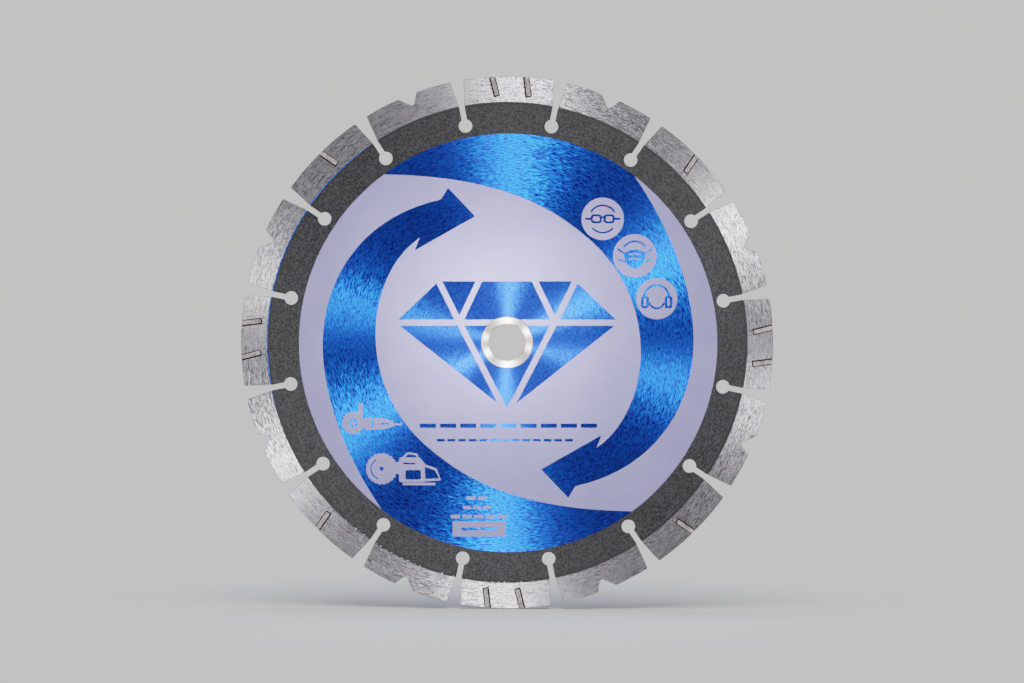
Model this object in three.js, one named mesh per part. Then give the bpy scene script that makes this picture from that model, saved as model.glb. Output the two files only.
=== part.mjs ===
// Segmented diamond blade, 9 inch: a steel core with keyhole gullets, sixteen diamond segments on its
// rim, inlay bars set in half of the segments, and a reducer bushing in the arbor hole.
// Millimetres. The blade stands upright like a wheel: its axis is Y, its printed front faces -Y, +Z is up,
// and the origin is the middle of the arbor hole, halfway through the plate.
import * as THREE from 'three';

// Driving dimensions
const BLADE_DIAMETER = 228.6;
const ARBOR_DIAMETER = 22.225;
const BUSHING_BORE = 15.875;
const BUSHING_DIAMETER = 22.1;
const CORE_DIAMETER = 206.0;
const CORE_THICKNESS = 1.8;
const BUSHING_THICKNESS = 1.6;
const SEGMENT_THICKNESS = 2.6;
const INLAY_THICKNESS = 2.4;
const PIECE_GAP = 0.3;
const BUSHING_CHAMFER = 0.3;

// Segments: sixteen on an even pitch, between sixteen gullets
const SEGMENT_COUNT = 16;
const SEGMENT_FOOT_HALF_ANGLE = 10.58;
const SEGMENT_RIM_HALF_ANGLE = 9.77;

// Gullets: a straight slot from the rim to a round keyhole
const SLOT_WIDTH = 2.3;
const KEYHOLE_DIAMETER = 5.8;
const KEYHOLE_CENTRE_RADIUS = 94.75;

// Inlay slots, open at the rim, where their angles are taken from the segment's middle. Each floor lies
// further clockwise than its mouth by the slant.
const INLAY_SLOT_WIDTH = 2.65;
const INLAY_SLOT_FLOOR_RADIUS = 105.7;
const INLAY_SLANT = 0.9;
const TWIN_SLOT_ANGLES = [-3.62, 3.74];
const SINGLE_SLOT_ANGLES = [0.11];

// V notch in the rim of every second segment, with its floor off its middle
const NOTCH_FROM_ANGLE = -2.06;
const NOTCH_TO_ANGLE = 2.18;
const NOTCH_FLOOR_RADIUS = 109.75;
const NOTCH_FLOOR_ANGLE = 0.46;
const NOTCH_FLOOR_WIDTH = 1.25;

// Facets
const BORE_FACETS = 64;
const RIM_STEP = 1.75;
const KEYHOLE_FACETS = 14;

const BLADE_RADIUS = BLADE_DIAMETER / 2;
const CORE_RADIUS = CORE_DIAMETER / 2;
const FOOT_RADIUS = CORE_RADIUS + PIECE_GAP;
const PITCH = 360 / SEGMENT_COUNT;

// A point on the blade's face, its angle in degrees clockwise from the top as seen from the front
function polar(radius, angle) {
  const a = THREE.MathUtils.degToRad(angle);
  return new THREE.Vector2(radius * Math.sin(a), radius * Math.cos(a));
}

// Points along a circle around the blade's axis, both ends included
function rimArc(radius, from, to) {
  const steps = Math.max(1, Math.round(Math.abs(to - from) / RIM_STEP));
  const points = [];
  for (let i = 0; i <= steps; i += 1) {
    points.push(polar(radius, from + ((to - from) * i) / steps));
  }
  return points;
}

// Where the line a-b, carried on, crosses the circle of this radius on the side of b
function lineToCircle(a, b, radius) {
  const direction = b.clone().sub(a).normalize();
  const along = a.dot(direction);
  const reach = Math.sqrt(along * along - a.lengthSq() + radius * radius) - along;
  return a.clone().addScaledVector(direction, reach);
}

function angleOf(point) {
  return THREE.MathUtils.radToDeg(Math.atan2(point.x, point.y));
}

// A flat piece in the blade's plane, centred on the plate's thickness. The outline runs clockwise and
// its holes the other way.
function plate(points, holes, thickness) {
  const shape = new THREE.Shape(points);
  for (const hole of holes) {
    shape.holes.push(new THREE.Path(hole));
  }
  const geometry = new THREE.ExtrudeGeometry(shape, { depth: thickness, bevelEnabled: false });
  geometry.translate(0, 0, -thickness / 2);
  return geometry;
}

// One gullet, walked clockwise around the blade: down its first wall, round the keyhole, and up again
function gullet(angle) {
  const half = SLOT_WIDTH / 2;
  const keyhole = KEYHOLE_DIAMETER / 2;
  const outward = polar(1, angle);
  const sideways = polar(1, angle + 90);
  const centre = outward.clone().multiplyScalar(KEYHOLE_CENTRE_RADIUS);
  const mouth = Math.asin(half / keyhole);
  const points = [];
  const rimHeight = Math.sqrt(CORE_RADIUS * CORE_RADIUS - half * half);
  points.push(outward.clone().multiplyScalar(rimHeight).addScaledVector(sideways, -half));
  for (let i = 0; i <= KEYHOLE_FACETS; i += 1) {
    const turn = -mouth - ((2 * Math.PI - 2 * mouth) * i) / KEYHOLE_FACETS;
    const point = centre.clone().addScaledVector(outward, keyhole * Math.cos(turn));
    points.push(point.addScaledVector(sideways, keyhole * Math.sin(turn)));
  }
  points.push(outward.clone().multiplyScalar(rimHeight).addScaledVector(sideways, half));
  return points;
}

function steelCore() {
  const landHalf = PITCH / 2 - THREE.MathUtils.radToDeg(Math.asin(SLOT_WIDTH / 2 / CORE_RADIUS));
  const outline = [];
  for (let i = 0; i < SEGMENT_COUNT; i += 1) {
    const middle = i * PITCH;
    const land = rimArc(CORE_RADIUS, middle - landHalf, middle + landHalf);
    outline.push(...land.slice(1, -1), ...gullet(middle + PITCH / 2));
  }
  const bore = [];
  for (let i = 0; i < BORE_FACETS; i += 1) {
    bore.push(polar(ARBOR_DIAMETER / 2, (-360 * i) / BORE_FACETS));
  }
  return plate(outline, [bore], CORE_THICKNESS);
}

// The direction of an inlay slot and the ends of its two walls, at the floor and at the rim
function slotWalls(rimAngle, width) {
  const rim = polar(BLADE_RADIUS, rimAngle);
  const floor = polar(INLAY_SLOT_FLOOR_RADIUS, rimAngle + INLAY_SLANT);
  const direction = rim.clone().sub(floor).normalize();
  const sideways = new THREE.Vector2(direction.y, -direction.x);
  const before = floor.clone().addScaledVector(sideways, -width / 2);
  const after = floor.clone().addScaledVector(sideways, width / 2);
  return {
    direction,
    floorBefore: before,
    floorAfter: after,
    rimBefore: lineToCircle(before, before.clone().add(direction), BLADE_RADIUS),
    rimAfter: lineToCircle(after, after.clone().add(direction), BLADE_RADIUS),
  };
}

// A segment in its place at the top of the blade. Each cut is what interrupts its rim: the angle where
// the rim stops, the corner points inside the cut, and the angle where the rim goes on.
function segment(cuts) {
  const outline = rimArc(FOOT_RADIUS, SEGMENT_FOOT_HALF_ANGLE, 0).slice(0, -1);
  outline.push(...rimArc(FOOT_RADIUS, 0, -SEGMENT_FOOT_HALF_ANGLE));
  let angle = -SEGMENT_RIM_HALF_ANGLE;
  for (const cut of cuts) {
    outline.push(...rimThroughTop(angle, cut.from), ...cut.points);
    angle = cut.to;
  }
  outline.push(...rimThroughTop(angle, SEGMENT_RIM_HALF_ANGLE));
  return plate(outline, [], SEGMENT_THICKNESS);
}

// A stretch of the rim that keeps a corner at the segment's middle, so the blade measures its full size
function rimThroughTop(from, to) {
  if (from < 0 && to > 0) {
    return [...rimArc(BLADE_RADIUS, from, 0).slice(0, -1), ...rimArc(BLADE_RADIUS, 0, to)];
  }
  return rimArc(BLADE_RADIUS, from, to);
}

function inlaySlotCut(rimAngle) {
  const walls = slotWalls(rimAngle, INLAY_SLOT_WIDTH);
  return {
    from: angleOf(walls.rimBefore),
    points: [walls.floorBefore, walls.floorAfter],
    to: angleOf(walls.rimAfter),
  };
}

function notchCut() {
  const floor = polar(NOTCH_FLOOR_RADIUS, NOTCH_FLOOR_ANGLE);
  const half = new THREE.Vector2(NOTCH_FLOOR_WIDTH / 2, 0);
  return {
    from: NOTCH_FROM_ANGLE,
    points: [floor.clone().sub(half), floor.clone().add(half)],
    to: NOTCH_TO_ANGLE,
  };
}

// The bar that fills an inlay slot, a gap clear of its floor and walls
function inlayBar(rimAngle) {
  const walls = slotWalls(rimAngle, INLAY_SLOT_WIDTH - 2 * PIECE_GAP);
  const lift = walls.direction.clone().multiplyScalar(PIECE_GAP);
  const outline = [walls.floorAfter.clone().add(lift), walls.floorBefore.clone().add(lift)];
  outline.push(...rimArc(BLADE_RADIUS, angleOf(walls.rimBefore), angleOf(walls.rimAfter)));
  return plate(outline, [], INLAY_THICKNESS);
}

// The ring, turned about Y, with chamfered bore and outer edges
function reducerBushing() {
  const inner = BUSHING_BORE / 2;
  const outer = BUSHING_DIAMETER / 2;
  const face = BUSHING_THICKNESS / 2;
  const profile = [
    new THREE.Vector2(inner, face - BUSHING_CHAMFER),
    new THREE.Vector2(inner, BUSHING_CHAMFER - face),
    new THREE.Vector2(inner + BUSHING_CHAMFER, -face),
    new THREE.Vector2(outer - BUSHING_CHAMFER, -face),
    new THREE.Vector2(outer, BUSHING_CHAMFER - face),
    new THREE.Vector2(outer, face - BUSHING_CHAMFER),
    new THREE.Vector2(outer - BUSHING_CHAMFER, face),
    new THREE.Vector2(inner + BUSHING_CHAMFER, face),
    new THREE.Vector2(inner, face - BUSHING_CHAMFER),
  ];
  return new THREE.LatheGeometry(profile, BORE_FACETS);
}

const coreMaterial = new THREE.MeshStandardMaterial({ color: 0x1d4fb8, roughness: 0.4, metalness: 0.8 });
const segmentMaterial = new THREE.MeshStandardMaterial({ color: 0xb9b7b8, roughness: 0.5, metalness: 0.8 });
const inlayMaterial = new THREE.MeshStandardMaterial({ color: 0xa59692, roughness: 0.7, metalness: 0.4 });
const bushingMaterial = new THREE.MeshStandardMaterial({ color: 0xe0dacb, roughness: 0.3, metalness: 1.0 });

const root = new THREE.Group();

function addPiece(parent, name, geometry, material, angle = 0) {
  const mesh = new THREE.Mesh(geometry, material);
  mesh.name = name;
  mesh.rotation.z = -THREE.MathUtils.degToRad(angle);
  parent.add(mesh);
}

addPiece(root, 'reducer_bushing', reducerBushing(), bushingMaterial);

// The plate's drawing plane turned upright, its front towards -Y
const upright = new THREE.Group();
upright.rotation.x = Math.PI / 2;
root.add(upright);

addPiece(upright, 'steel_core', steelCore(), coreMaterial);

// Clockwise from the top: twin inlays at the quarters, single inlays between them, notches in between
for (let quarter = 0; quarter < 4; quarter += 1) {
  const angle = quarter * 90;
  const number = quarter + 1;
  const twin = segment(TWIN_SLOT_ANGLES.map(inlaySlotCut));
  addPiece(upright, `segment_twin_${number}`, twin, segmentMaterial, angle);
  addPiece(upright, `inlay_twin_${number}a`, inlayBar(TWIN_SLOT_ANGLES[0]), inlayMaterial, angle);
  addPiece(upright, `inlay_twin_${number}b`, inlayBar(TWIN_SLOT_ANGLES[1]), inlayMaterial, angle);
  const between = angle + 2 * PITCH;
  const single = segment(SINGLE_SLOT_ANGLES.map(inlaySlotCut));
  addPiece(upright, `segment_single_${number}`, single, segmentMaterial, between);
  addPiece(upright, `inlay_single_${number}`, inlayBar(SINGLE_SLOT_ANGLES[0]), inlayMaterial, between);
}
for (let i = 0; i < SEGMENT_COUNT / 2; i += 1) {
  const angle = (2 * i + 1) * PITCH;
  addPiece(upright, `segment_notch_${i + 1}`, segment([notchCut()]), segmentMaterial, angle);
}

export default root;
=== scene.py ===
import math
import random

import bmesh
import bpy
import numpy as np
from mathutils import Matrix, Vector
from mathutils.geometry import delaunay_2d_cdt


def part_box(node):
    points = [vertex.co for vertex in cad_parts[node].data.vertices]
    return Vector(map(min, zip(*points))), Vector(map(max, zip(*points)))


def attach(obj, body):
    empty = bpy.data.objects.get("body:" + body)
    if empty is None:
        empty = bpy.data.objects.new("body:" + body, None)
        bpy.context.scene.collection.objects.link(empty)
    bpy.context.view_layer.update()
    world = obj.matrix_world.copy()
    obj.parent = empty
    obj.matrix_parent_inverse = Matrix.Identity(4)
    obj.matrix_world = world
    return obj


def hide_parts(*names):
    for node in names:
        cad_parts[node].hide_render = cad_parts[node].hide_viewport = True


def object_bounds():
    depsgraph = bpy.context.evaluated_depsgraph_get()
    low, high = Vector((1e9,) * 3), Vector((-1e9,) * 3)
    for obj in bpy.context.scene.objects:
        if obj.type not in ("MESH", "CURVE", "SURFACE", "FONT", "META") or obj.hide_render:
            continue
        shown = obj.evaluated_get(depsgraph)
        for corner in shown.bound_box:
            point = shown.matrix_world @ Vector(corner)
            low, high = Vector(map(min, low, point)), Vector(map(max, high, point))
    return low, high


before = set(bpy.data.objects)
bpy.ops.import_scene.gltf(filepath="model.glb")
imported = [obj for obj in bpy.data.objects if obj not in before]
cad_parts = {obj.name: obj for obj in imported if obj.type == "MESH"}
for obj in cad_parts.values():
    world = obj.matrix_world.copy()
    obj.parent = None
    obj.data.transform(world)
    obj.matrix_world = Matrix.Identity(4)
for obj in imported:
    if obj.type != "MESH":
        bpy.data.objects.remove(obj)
cad_low, cad_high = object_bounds()

MM = 0.001

# Sizes that come from the frame
BLADE_RADIUS = cad_high.z / MM
SEGMENT_FACE = cad_high.y / MM
CORE_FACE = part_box("steel_core")[1].y / MM
CORE_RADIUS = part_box("steel_core")[1].z / MM
RING_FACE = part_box("reducer_bushing")[1].y / MM
RING_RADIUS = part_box("reducer_bushing")[1].z / MM

# Layout of the plate and its rim
ARBOR_RADIUS = 22.225 / 2
RING_BORE_RADIUS = 15.875 / 2
SEGMENT_COUNT = 16
PITCH = 360 / SEGMENT_COUNT
FOOT_RADIUS = CORE_RADIUS + 0.3
FOOT_HALF_ANGLE = 10.58
RIM_HALF_ANGLE = 9.77
SLOT_WIDTH = 2.3
KEYHOLE_RADIUS = 2.9
KEYHOLE_CENTRE_RADIUS = 94.75

# Inlay slots and bars
INLAY_SLOT_WIDTH = 2.65
INLAY_BAR_WIDTH = 1.8
INLAY_BAR_SHIFT = 0.14
INLAY_FLOOR_RADIUS = 105.7
INLAY_BAR_FOOT_RADIUS = 106.15
INLAY_SLANT = 0.9
INLAY_RECESS = 0.12
BAR_EDGE = 0.08
BAR_CORNER = 0.15
BAR_RIM_RECESS = 0.12
JOINT_GAP = 0.015
JOINT_RECESS = 0.6
JOINT_RIM_RECESS = 0.05
TWIN_SLOT_ANGLES = (-3.62, 3.74)
SINGLE_SLOT_ANGLES = (0.11,)

# Rim notch of every second segment
NOTCH_FROM_ANGLE = -2.06
NOTCH_TO_ANGLE = 2.18
NOTCH_FLOOR_RADIUS = 109.75
NOTCH_FLOOR_ANGLE = 0.46
NOTCH_FLOOR_WIDTH = 1.25

# Layers on the plate. The coat stops where the chamfer around each gullet begins
LAYER = 0.02
CUT_EDGE = 0.12
COAT_INNER_RADIUS = 89.9
COAT_OUTER_RADIUS = 102.93
COAT_GULLET_MARGIN = CUT_EDGE + 0.001
COAT_GULLET_OVERRUN = 2.0
COAT_SEAM_SHADE_FROM = 102.15
# Radii over which the coat is painted darker, as shade of the seam at the weld
COAT_SEAM_SHADE_TO = 102.55
PRINT_SHIFT = (0.45, -0.2)
PRINT_RADIUS = 90.05
PRINT_BORE_RADIUS = 11.3

# Weld bead, and the stretches where it is blue and where it has bright specks
WELD_INNER_RADIUS = 102.72
WELD_OUTER_RADIUS = 103.42
BLUE_WELD_MIDDLE = 290
BLUE_WELD_HALF_ANGLE = 32
BLUE_WELD_FROM = WELD_INNER_RADIUS + 0.2
BLUE_WELD_TO = WELD_INNER_RADIUS + 0.3
BRIGHT_SPECKS_MIDDLE = 198
BRIGHT_SPECKS_HALF_ANGLE = 20

# The artwork sits this far anticlockwise from the segments
ARTWORK_TURN = -0.37


# Outlines in the blade's plane, as lists of (x, z) points

def polar(radius, angle):
    turn = math.radians(angle)
    return (radius * math.sin(turn), radius * math.cos(turn))


def turned(points, angle, shift=(0.0, 0.0)):
    """The points moved by the shift and then turned clockwise about the blade's axis."""
    cosine = math.cos(math.radians(angle))
    sine = math.sin(math.radians(angle))
    moved = [(x + shift[0], z + shift[1]) for x, z in points]
    return [(x * cosine + z * sine, z * cosine - x * sine) for x, z in moved]


def arc(centre, radius, start, end, step=3.0):
    """Points of an arc, both ends included, its angles measured clockwise from straight up."""
    count = max(1, math.ceil(abs(end - start) / step))
    angles = [start + (end - start) * i / count for i in range(count + 1)]
    return [(centre[0] + x, centre[1] + z) for x, z in (polar(radius, a) for a in angles)]


def disc(centre, radius, step=6.0):
    return arc(centre, radius, 0, 360, step)[:-1]


def bezier(p0, p1, p2, p3, count=20):
    points = []
    for i in range(count + 1):
        t = i / count
        weights = ((1 - t) ** 3, 3 * (1 - t) ** 2 * t, 3 * (1 - t) * t * t, t ** 3)
        corners = (p0, p1, p2, p3)
        points.append(tuple(sum(w * p[k] for w, p in zip(weights, corners)) for k in (0, 1)))
    return points


def box(left, right, low, high):
    return [(left, low), (right, low), (right, high), (left, high)]


def rounded_box(left, right, low, high, radius):
    return rounded([(x, z, radius) for x, z in box(left, right, low, high)])


def rounded(corners, facets=5):
    """An outline with its corners (x, z, radius) replaced by arcs; a radius of 0 keeps the corner."""
    points = []
    total = len(corners)
    for i, (x, z, radius) in enumerate(corners):
        here = Vector((x, z))
        if radius <= 0:
            points.append((x, z))
            continue
        before = (Vector(corners[i - 1][:2]) - here).normalized()
        after = (Vector(corners[(i + 1) % total][:2]) - here).normalized()
        half = before.angle(after) / 2
        reach = radius / math.tan(half)
        centre = here + (before + after).normalized() * (radius / math.sin(half))
        first = here + before * reach - centre
        sweep = first.angle_signed(here + after * reach - centre)
        for k in range(facets + 1):
            turn = -sweep * k / facets
            cosine = math.cos(turn)
            sine = math.sin(turn)
            x = centre.x + first.x * cosine - first.y * sine
            z = centre.y + first.x * sine + first.y * cosine
            points.append((x, z))
    return points


def signed_area(points):
    return sum(a[0] * b[1] - b[0] * a[1] for a, b in zip(points, points[1:] + points[:1])) / 2


def inset(points, distance):
    """The outline moved to its own left by the distance, its corners kept sharp."""
    moved = []
    total = len(points)
    for i in range(total):
        a, b, c = (Vector(points[(i + k) % total]) for k in (-1, 0, 1))
        before = (b - a).normalized()
        after = (c - b).normalized()
        across = Vector((-before.y - after.y, before.x + after.x))
        scale = 2 * distance / max(across.length_squared, 0.5)
        moved.append((b.x + across.x * scale, b.y + across.y * scale))
    return moved


def line_to_circle(a, b, radius):
    """Where the line a-b, carried on, crosses the circle around the blade's axis."""
    start = Vector(a)
    direction = (Vector(b) - start).normalized()
    along = start.dot(direction)
    reach = math.sqrt(along * along - start.length_squared + radius * radius) - along
    return tuple(start + direction * reach)


def angle_of(point):
    return math.degrees(math.atan2(point[0], point[1]))


# Solids from outlines

pieces = []


def new_piece(name, mesh_data, body, materials, replaced=()):
    """Links a piece into the scene, hangs it on its body, gives it its finishes and hides the CAD parts it
    replaces.
    """
    piece = bpy.data.objects.new(name, mesh_data)
    bpy.context.scene.collection.objects.link(piece)
    for material in materials:
        mesh_data.materials.append(material)
    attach(piece, body)
    if replaced:
        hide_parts(*replaced)
    pieces.append(piece)
    return piece


def inside(points, loop):
    """For each point, whether it lies inside the outline."""
    found = np.zeros(len(points), bool)
    for (ax, az), (bx, bz) in zip(loop, loop[1:] + loop[:1]):
        if az == bz:
            continue
        between = (az > points[:, 1]) != (bz > points[:, 1])
        cross = ax + (points[:, 1] - az) * (bx - ax) / (bz - az)
        found ^= between & (points[:, 0] < cross)
    return found


def triangulated(loops):
    """Splits the plane along the outlines: the points, the triangles and the middle of each triangle."""
    points = []
    edges = []
    for loop in loops:
        first = len(points)
        points += [Vector(p) for p in loop]
        edges += [(first + i, first + (i + 1) % len(loop)) for i in range(len(loop))]
    flat, _, faces, _, _, _ = delaunay_2d_cdt(points, edges, [], 0, 1e-5)
    middles = np.array([[sum(flat[i][k] for i in f) / len(f) for k in (0, 1)] for f in faces])
    return flat, faces, middles


def cap(mesh, loops, y, material=0):
    """Fills the region between the outlines, outer ones and holes alike, at one depth."""
    flat, faces, middles = triangulated(loops)
    filled = np.zeros(len(middles), bool)
    for loop in loops:
        filled ^= inside(middles, loop)
    verts = [mesh.verts.new((p.x * MM, y * MM, p.y * MM)) for p in flat]
    for face, fill in zip(faces, filled):
        if fill:
            mesh.faces.new([verts[i] for i in face]).material_index = material


def band(mesh, loop_a, y_a, loop_b, y_b, material=0, smooth=True):
    """A strip of quads between two outlines that have the same number of points."""
    row_a = [mesh.verts.new((x * MM, y_a * MM, z * MM)) for x, z in loop_a]
    row_b = [mesh.verts.new((x * MM, y_b * MM, z * MM)) for x, z in loop_b]
    total = len(row_a)
    for i in range(total):
        k = (i + 1) % total
        quad = mesh.faces.new((row_a[i], row_a[k], row_b[k], row_b[i]))
        quad.material_index = material
        quad.smooth = smooth


def both_faces(profile):
    """A closed cross-section from the (radius, depth, other) rows of its front half."""
    front = [(radius, -y, other) for radius, y, other in profile]
    return front + [(radius, y, other) for radius, y, other in reversed(profile)]


def skin(mesh, rows, smooth):
    """Quads between neighbouring rows, each of which goes once around a cross-section. The flags say
    which of the strips along the rows are smooth."""
    for row, following in zip(rows, rows[1:]):
        for a in range(len(row)):
            b = (a + 1) % len(row)
            quad = mesh.faces.new((row[a], row[b], following[b], following[a]))
            quad.smooth = smooth[a]


def slab(mesh, outer, holes, face, edge, materials, pockets=(), pocket_depth=0.0):
    """A flat closed solid, centred on the plate, with chamfered rims and shallow pockets in both faces.
    The materials are those of its faces, its walls and its pockets."""
    loops = [outer if signed_area(outer) > 0 else outer[::-1]]
    loops += [hole if signed_area(hole) < 0 else hole[::-1] for hole in holes]
    inner = [inset(loop, edge) for loop in loops]
    for side in (-1, 1):
        cap(mesh, inner + list(pockets), side * face, materials[0])
        for loop, small in zip(loops, inner):
            band(mesh, small, side * face, loop, side * (face - edge), materials[1], smooth=False)
        for pocket in pockets:
            band(mesh, pocket, side * face, pocket, side * (face - pocket_depth), materials[2])
            cap(mesh, [pocket], side * (face - pocket_depth), materials[2])
    for loop in loops:
        band(mesh, loop, edge - face, loop, face - edge, materials[1])


def finished(mesh, name, sharp=25):
    """Welds the solid's seams, turns its faces outwards and gives back its mesh data."""
    bmesh.ops.delete(mesh, geom=[v for v in mesh.verts if not v.link_faces], context="VERTS")
    bmesh.ops.remove_doubles(mesh, verts=mesh.verts, dist=2e-7)
    bmesh.ops.recalc_face_normals(mesh, faces=mesh.faces)
    data = bpy.data.meshes.new(name)
    mesh.to_mesh(data)
    mesh.free()
    data.set_sharp_from_angle(angle=math.radians(sharp))
    return data


def printed_layer(name, shapes, back, front):
    """A thin solid layer of ink. The shapes are (has_ink, outline) pairs, each printed over those before
    it, so that an outline may lay ink down or leave the lacquer bare."""
    flat, faces, middles = triangulated([loop for _, loop in shapes])
    inked = np.zeros(len(middles), bool)
    for has_ink, loop in shapes:
        inked[inside(middles, loop)] = has_ink
    mesh = bmesh.new()
    lower = [mesh.verts.new((p.x * MM, back * MM, p.y * MM)) for p in flat]
    upper = [mesh.verts.new((p.x * MM, front * MM, p.y * MM)) for p in flat]
    used = {}
    for face, has_ink in zip(faces, inked):
        if not has_ink:
            continue
        mesh.faces.new([upper[i] for i in face])
        mesh.faces.new([lower[i] for i in reversed(face)])
        for a, b in zip(face, face[1:] + face[:1]):
            key = (min(a, b), max(a, b))
            used[key] = used.get(key, 0) + 1
    for (a, b), count in used.items():
        if count == 1:
            mesh.faces.new((lower[a], lower[b], upper[b], upper[a]))
    return finished(mesh, name)


# Materials

class Nodes:
    """A material's node tree, with a short call for each kind of node used here. The functions below call
    it n."""

    def __init__(self, name):
        self.material = bpy.data.materials.new(name)
        self.material.use_nodes = True
        self.tree = self.material.node_tree
        self.tree.nodes.clear()
        self.shader = self.tree.nodes.new("ShaderNodeBsdfPrincipled")
        output = self.tree.nodes.new("ShaderNodeOutputMaterial")
        self.tree.links.new(self.shader.outputs["BSDF"], output.inputs["Surface"])
        self.coordinates = self.tree.nodes.new("ShaderNodeTexCoord").outputs["Object"]

    def put(self, socket, value):
        if isinstance(value, bpy.types.NodeSocket):
            self.tree.links.new(value, socket)
        else:
            socket.default_value = value

    def set(self, **values):
        """Sets or links the shader's inputs, named with underscores for spaces."""
        for name, value in values.items():
            self.put(self.shader.inputs[name.replace("_", " ")], value)

    def math(self, operation, a, b=0.0, c=0.0):
        node = self.tree.nodes.new("ShaderNodeMath")
        node.operation = operation
        for socket, value in zip(node.inputs, (a, b, c)):
            self.put(socket, value)
        return node.outputs[0]

    def vector(self, operation, a, b=None, scale=None):
        node = self.tree.nodes.new("ShaderNodeVectorMath")
        node.operation = operation
        self.put(node.inputs[0], a)
        if b is not None:
            self.put(node.inputs[1], b)
        if scale is not None:
            self.put(node.inputs["Scale"], scale)
        return node.outputs["Value" if operation == "LENGTH" else "Vector"]

    def split(self, vector):
        node = self.tree.nodes.new("ShaderNodeSeparateXYZ")
        self.put(node.inputs[0], vector)
        return node.outputs

    def join(self, x, y, z):
        node = self.tree.nodes.new("ShaderNodeCombineXYZ")
        for socket, value in zip(node.inputs, (x, y, z)):
            self.put(socket, value)
        return node.outputs[0]

    def noise(self, vector, scale=1.0, detail=2.0, roughness=0.5):
        node = self.tree.nodes.new("ShaderNodeTexNoise")
        self.put(node.inputs["Vector"], vector)
        self.put(node.inputs["Scale"], scale)
        self.put(node.inputs["Detail"], detail)
        self.put(node.inputs["Roughness"], roughness)
        return node.outputs["Fac"]

    def remap(self, value, low, high, to_low=0.0, to_high=1.0):
        node = self.tree.nodes.new("ShaderNodeMapRange")
        node.interpolation_type = "SMOOTHSTEP"
        for socket, number in zip(node.inputs, (value, low, high, to_low, to_high)):
            self.put(socket, number)
        return node.outputs[0]

    def mix(self, factor, a, b):
        """A colour between two others, each of which is a socket or three numbers."""
        node = self.tree.nodes.new("ShaderNodeMix")
        node.data_type = "RGBA"
        self.put(node.inputs[0], factor)
        self.put(node.inputs[6], (*a, 1.0) if isinstance(a, tuple) else a)
        self.put(node.inputs[7], (*b, 1.0) if isinstance(b, tuple) else b)
        return node.outputs[2]

    def bump(self, height, strength, distance):
        node = self.tree.nodes.new("ShaderNodeBump")
        self.put(node.inputs["Height"], height)
        self.put(node.inputs["Strength"], strength)
        self.put(node.inputs["Distance"], distance)
        return node.outputs["Normal"]

    # Places on the blade

    def flat_position(self):
        x, _, z = self.split(self.coordinates)
        return self.join(x, 0.0, z)

    def radial(self):
        """The unit vector away from the blade's axis."""
        return self.vector("NORMALIZE", self.flat_position())

    def radius_mm(self):
        return self.math("MULTIPLY", self.vector("LENGTH", self.flat_position()), 1 / MM)

    def streaks(self, per_turn, per_mm, offset=0.0):
        """Coordinates for noise in short dashes around the axis: one unit is the length of a dash along
        the turn and its width along the radius."""
        around = self.vector("SCALE", self.radial(), scale=per_turn)
        x, _, z = self.split(around)
        across = self.math("MULTIPLY_ADD", self.radius_mm(), per_mm, offset)
        return self.join(x, across, z)

    def sector(self, middle, half_angle, noise):
        """One on the stretch of the blade around an angle, nought elsewhere, with a ragged end."""
        x, _, z = self.split(self.radial())
        middle_x, middle_z = polar(1.0, middle)
        toward = self.math("ADD", self.math("MULTIPLY", x, middle_x), self.math("MULTIPLY", z, middle_z))
        edge = math.cos(math.radians(half_angle))
        return self.remap(self.math("MULTIPLY_ADD", noise, 0.1, toward), edge, edge + 0.12)

    def brushed_direction(self, dashes, swing):
        """The radial direction, swung to and fro by the dashes, as scratches of a grinding wheel are."""
        radial = self.radial()
        around = self.vector("CROSS_PRODUCT", radial, (0.0, 1.0, 0.0))
        amount = self.math("MULTIPLY", self.math("SUBTRACT", dashes, 0.5), swing)
        return self.vector("ADD", radial, self.vector("SCALE", around, scale=amount))


# Radii between which the lacquer's painted light fades from the pale middle to full blue, and the scratches
# go from the inner to the outer pattern
LACQUER_PAINTED_LIGHT_FROM = 12.0
LACQUER_PAINTED_LIGHT_TO = 62.0
OUTER_SCRATCHES_FROM = 25.0
OUTER_SCRATCHES_TO = 50.0


def lacquer_material():
    """Clear blue lacquer over a plate ground in circles: the light spreads away from the axis in fans.
    Its colour is painted paler towards the arbor hole: painted light that brightens the middle of the
    plate."""
    n = Nodes("blue_lacquer_over_ground_steel")
    dashes = n.noise(n.streaks(28, 2.3), detail=3.0, roughness=0.62)
    outer_scratches = n.noise(n.streaks(44, 3.0, 40.0), detail=1.0, roughness=0.6)
    inner_scratches = n.noise(n.streaks(18, 3.8, 90.0), detail=1.0, roughness=0.6)
    far = n.remap(n.radius_mm(), OUTER_SCRATCHES_FROM, OUTER_SCRATCHES_TO)
    change = n.math("SUBTRACT", outer_scratches, inner_scratches)
    fine = n.math("MULTIPLY_ADD", change, far, inner_scratches)
    grain = n.math("MULTIPLY_ADD", fine, 0.6, n.math("MULTIPLY", dashes, 0.4))
    tone = n.remap(grain, 0.38, 0.62)
    outer = n.mix(tone, (0.0090, 0.017, 0.20), (0.0140, 0.145, 0.88))
    # Painted light: the colour at the middle is paler than at the rim
    centre = n.mix(tone, (0.016, 0.060, 0.88), (0.054, 0.21, 1.0))
    outward = n.remap(n.radius_mm(), LACQUER_PAINTED_LIGHT_FROM, LACQUER_PAINTED_LIGHT_TO)
    rough = n.math("MULTIPLY_ADD", outward, -0.02, n.remap(fine, 0.3, 0.7, 0.31, 0.35))
    n.set(
        Base_Color=n.mix(outward, centre, outer),
        Metallic=n.math("MULTIPLY_ADD", outward, 0.24, 0.76),
        Specular_IOR_Level=0.2,
        Roughness=rough,
        Anisotropic=1.0,
        Tangent=n.brushed_direction(dashes, 0.65),
        Normal=n.bump(grain, 0.10, 0.00004),
    )
    return n.material


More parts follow.
